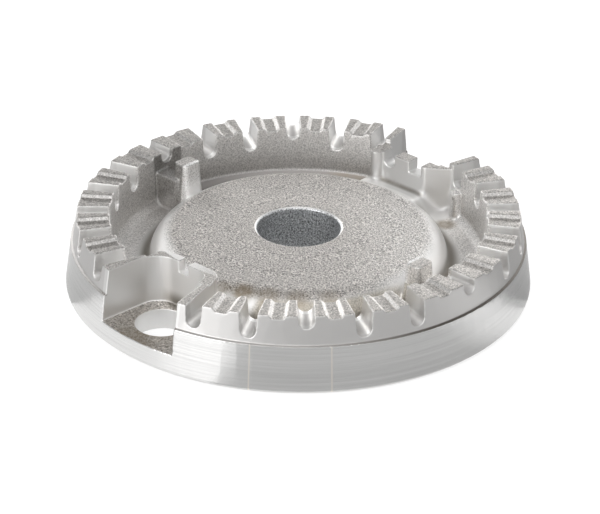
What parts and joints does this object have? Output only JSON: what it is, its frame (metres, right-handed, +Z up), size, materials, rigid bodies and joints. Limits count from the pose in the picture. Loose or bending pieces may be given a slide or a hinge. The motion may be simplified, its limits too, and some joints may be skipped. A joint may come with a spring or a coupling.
{
  "type": "gas burner flame spreader",
  "caption": "Round cast flame spreader for a gas hob burner: slotted crown, raised centre with mixture bore, walled electrode and probe pockets, turned skirt.",
  "frame": {"origin": "centre of the seat, on the axis of the mixture bore", "axes": "+Z up along the bore, -Y through the electrode pocket, X through the two lugs"},
  "size_m": [0.075, 0.075, 0.0123],
  "materials": {
    "cast_aluminium": "blasted casting with a turned satin skirt"
  },
  "bodies": {
    "root": {"flame_spreader": "cast_aluminium"}
  },
  "joints": []
}
